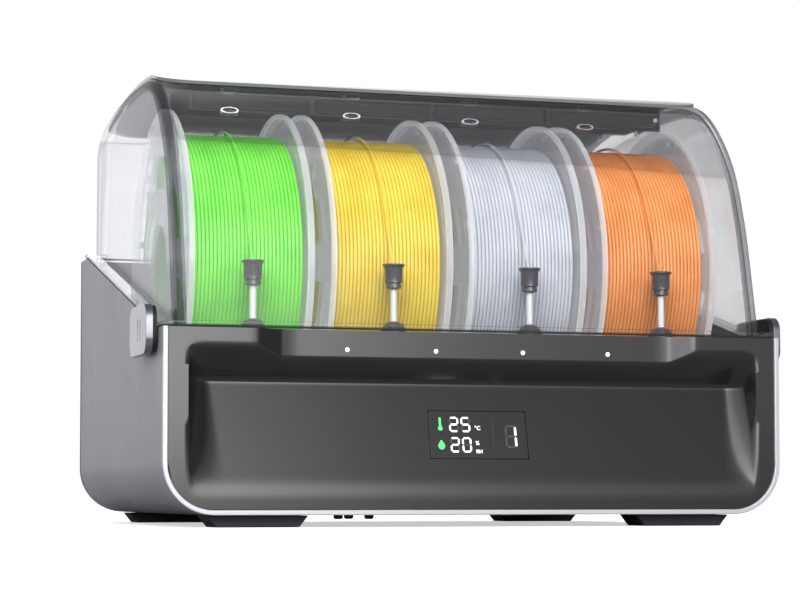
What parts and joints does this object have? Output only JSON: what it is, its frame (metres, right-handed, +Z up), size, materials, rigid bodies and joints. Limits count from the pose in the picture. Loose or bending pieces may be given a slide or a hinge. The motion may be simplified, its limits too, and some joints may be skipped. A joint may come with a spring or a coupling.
{
  "type": "filament dryer box",
  "caption": "Heated dry box for filament spools: clear arched lid on a rear hinge, scooped dark front with a display, spools on driven rollers, funnel inlets and side latches.",
  "frame": {"origin": "on the floor, under the middle of the box", "axes": "+X to the object's right seen from its front, along its width; +Y to the rear; +Z up"},
  "size_m": [0.394, 0.314, 0.2788],
  "materials": {
    "shell": "satin grey, slightly blue, very fine moulded texture",
    "trim": "bright pale silver strip",
    "cover": "dark satin plastic",
    "panel": "near-black satin gloss",
    "tub": "dark grey moulded liner",
    "display_glass": "smoked display window",
    "circuit": "green circuit board",
    "lens": "white light guide",
    "clear_plastic": "clear moulded polycarbonate, polished",
    "cap": "dark grey satin gloss",
    "tray": "dark ribbed plastic",
    "gasket": "black soft rubber",
    "foot": "dark rubber feet",
    "steel": "ground rod",
    "aluminium": "finned heater",
    "spool_plastic": "clear moulded spool",
    "tube": "white PTFE tube",
    "filament_1": "green filament, round grooves",
    "filament_2": "yellow filament, round grooves",
    "filament_3": "silver-white filament, round grooves",
    "filament_4": "orange filament, round grooves"
  },
  "bodies": {
    "root": {"outer_shell": "shell", "front_trim": "trim", "rear_cover": "cover", "front_panel": "panel", "inner_tub": "tub", "display_window": "display_glass", "display_board": "circuit", "led_light_guide": "lens", "hinge_rod": "steel", "front_axle": "steel", "rear_axle": "steel", "fan_frame": "cover", "heater_block": "aluminium", "main_board": "circuit", "outlet_fitting": "cover", "cable_socket": "cover", "foot_front_left": "foot", "foot_front_right": "foot", "foot_rear_left": "foot", "foot_rear_right": "foot", "filament_strand_1": "filament_1", "feeder_1": "cover", "inlet_funnel_1": "cover", "inlet_tube_1": "tube", "filament_strand_2": "filament_2", "feeder_2": "cover", "inlet_funnel_2": "cover", "inlet_tube_2": "tube", "filament_strand_3": "filament_3", "feeder_3": "cover", "inlet_funnel_3": "cover", "inlet_tube_3": "tube", "filament_strand_4": "filament_4", "feeder_4": "cover", "inlet_funnel_4": "cover", "inlet_tube_4": "tube"},
    "lid": {"lid_shell": "clear_plastic", "lid_cap": "cap", "desiccant_tray": "tray", "lid_gasket": "gasket", "lid_hinge_rail": "cover"},
    "latch_left": {"latch_left": "shell"},
    "latch_right": {"latch_right": "shell"},
    "fan_rotor": {"fan_rotor": "cover"},
    "spool_1": {"spool_1": "spool_plastic", "winding_1": "filament_1"},
    "front_roller_1": {"front_roller_1": "gasket"},
    "rear_roller_1": {"rear_roller_1": "gasket"},
    "spool_2": {"spool_2": "spool_plastic", "winding_2": "filament_2"},
    "front_roller_2": {"front_roller_2": "gasket"},
    "rear_roller_2": {"rear_roller_2": "gasket"},
    "spool_3": {"spool_3": "spool_plastic", "winding_3": "filament_3"},
    "front_roller_3": {"front_roller_3": "gasket"},
    "rear_roller_3": {"rear_roller_3": "gasket"},
    "spool_4": {"spool_4": "spool_plastic", "winding_4": "filament_4"},
    "front_roller_4": {"front_roller_4": "gasket"},
    "rear_roller_4": {"rear_roller_4": "gasket"}
  },
  "joints": [
    {"name": "lid_hinge", "type": "hinge", "parent": "root", "child": "lid", "pos_m": [0, 0.15, 0.1845], "axis": [-1, 0, 0], "range_deg": [0, 75]},
    {"name": "latch_left_hinge", "type": "hinge", "parent": "root", "child": "latch_left", "pos_m": [-0.1925, -0.116, 0.1], "axis": [0, -1, 0], "range_deg": [0, 35], "stiffness_Nm_per_rad": 0.05},
    {"name": "latch_right_hinge", "type": "hinge", "parent": "root", "child": "latch_right", "pos_m": [0.1925, -0.116, 0.1], "axis": [0, 1, 0], "range_deg": [0, 35], "stiffness_Nm_per_rad": 0.05},
    {"name": "spool_1_spin", "type": "hinge", "parent": "root", "child": "spool_1", "pos_m": [-0.129, -0.017, 0.16], "axis": [1, 0, 0], "continuous": true},
    {"name": "front_roller_1_spin", "type": "hinge", "parent": "root", "child": "front_roller_1", "pos_m": [-0.129, -0.0879, 0.07551], "axis": [1, 0, 0], "continuous": true},
    {"name": "rear_roller_1_spin", "type": "hinge", "parent": "root", "child": "rear_roller_1", "pos_m": [-0.129, 0.0539, 0.07551], "axis": [1, 0, 0], "continuous": true},
    {"name": "spool_2_spin", "type": "hinge", "parent": "root", "child": "spool_2", "pos_m": [-0.043, -0.017, 0.16], "axis": [1, 0, 0], "continuous": true},
    {"name": "front_roller_2_spin", "type": "hinge", "parent": "root", "child": "front_roller_2", "pos_m": [-0.043, -0.0879, 0.07551], "axis": [1, 0, 0], "continuous": true},
    {"name": "rear_roller_2_spin", "type": "hinge", "parent": "root", "child": "rear_roller_2", "pos_m": [-0.043, 0.0539, 0.07551], "axis": [1, 0, 0], "continuous": true},
    {"name": "spool_3_spin", "type": "hinge", "parent": "root", "child": "spool_3", "pos_m": [0.043, -0.017, 0.16], "axis": [1, 0, 0], "continuous": true},
    {"name": "front_roller_3_spin", "type": "hinge", "parent": "root", "child": "front_roller_3", "pos_m": [0.043, -0.0879, 0.07551], "axis": [1, 0, 0], "continuous": true},
    {"name": "rear_roller_3_spin", "type": "hinge", "parent": "root", "child": "rear_roller_3", "pos_m": [0.043, 0.0539, 0.07551], "axis": [1, 0, 0], "continuous": true},
    {"name": "spool_4_spin", "type": "hinge", "parent": "root", "child": "spool_4", "pos_m": [0.129, -0.017, 0.16], "axis": [1, 0, 0], "continuous": true},
    {"name": "front_roller_4_spin", "type": "hinge", "parent": "root", "child": "front_roller_4", "pos_m": [0.129, -0.0879, 0.07551], "axis": [1, 0, 0], "continuous": true},
    {"name": "rear_roller_4_spin", "type": "hinge", "parent": "root", "child": "rear_roller_4", "pos_m": [0.129, 0.0539, 0.07551], "axis": [1, 0, 0], "continuous": true},
    {"name": "fan_spin", "type": "hinge", "parent": "root", "child": "fan_rotor", "pos_m": [0.1, 0.083, 0.0102], "axis": [0, 0, 1], "continuous": true}
  ],
  "couplings": [
    {"joint": "front_roller_1_spin", "follows": "spool_1_spin", "ratio": -9},
    {"joint": "rear_roller_1_spin", "follows": "spool_1_spin", "ratio": -9},
    {"joint": "front_roller_2_spin", "follows": "spool_2_spin", "ratio": -9},
    {"joint": "rear_roller_2_spin", "follows": "spool_2_spin", "ratio": -9},
    {"joint": "front_roller_3_spin", "follows": "spool_3_spin", "ratio": -9},
    {"joint": "rear_roller_3_spin", "follows": "spool_3_spin", "ratio": -9},
    {"joint": "front_roller_4_spin", "follows": "spool_4_spin", "ratio": -9},
    {"joint": "rear_roller_4_spin", "follows": "spool_4_spin", "ratio": -9}
  ]
}
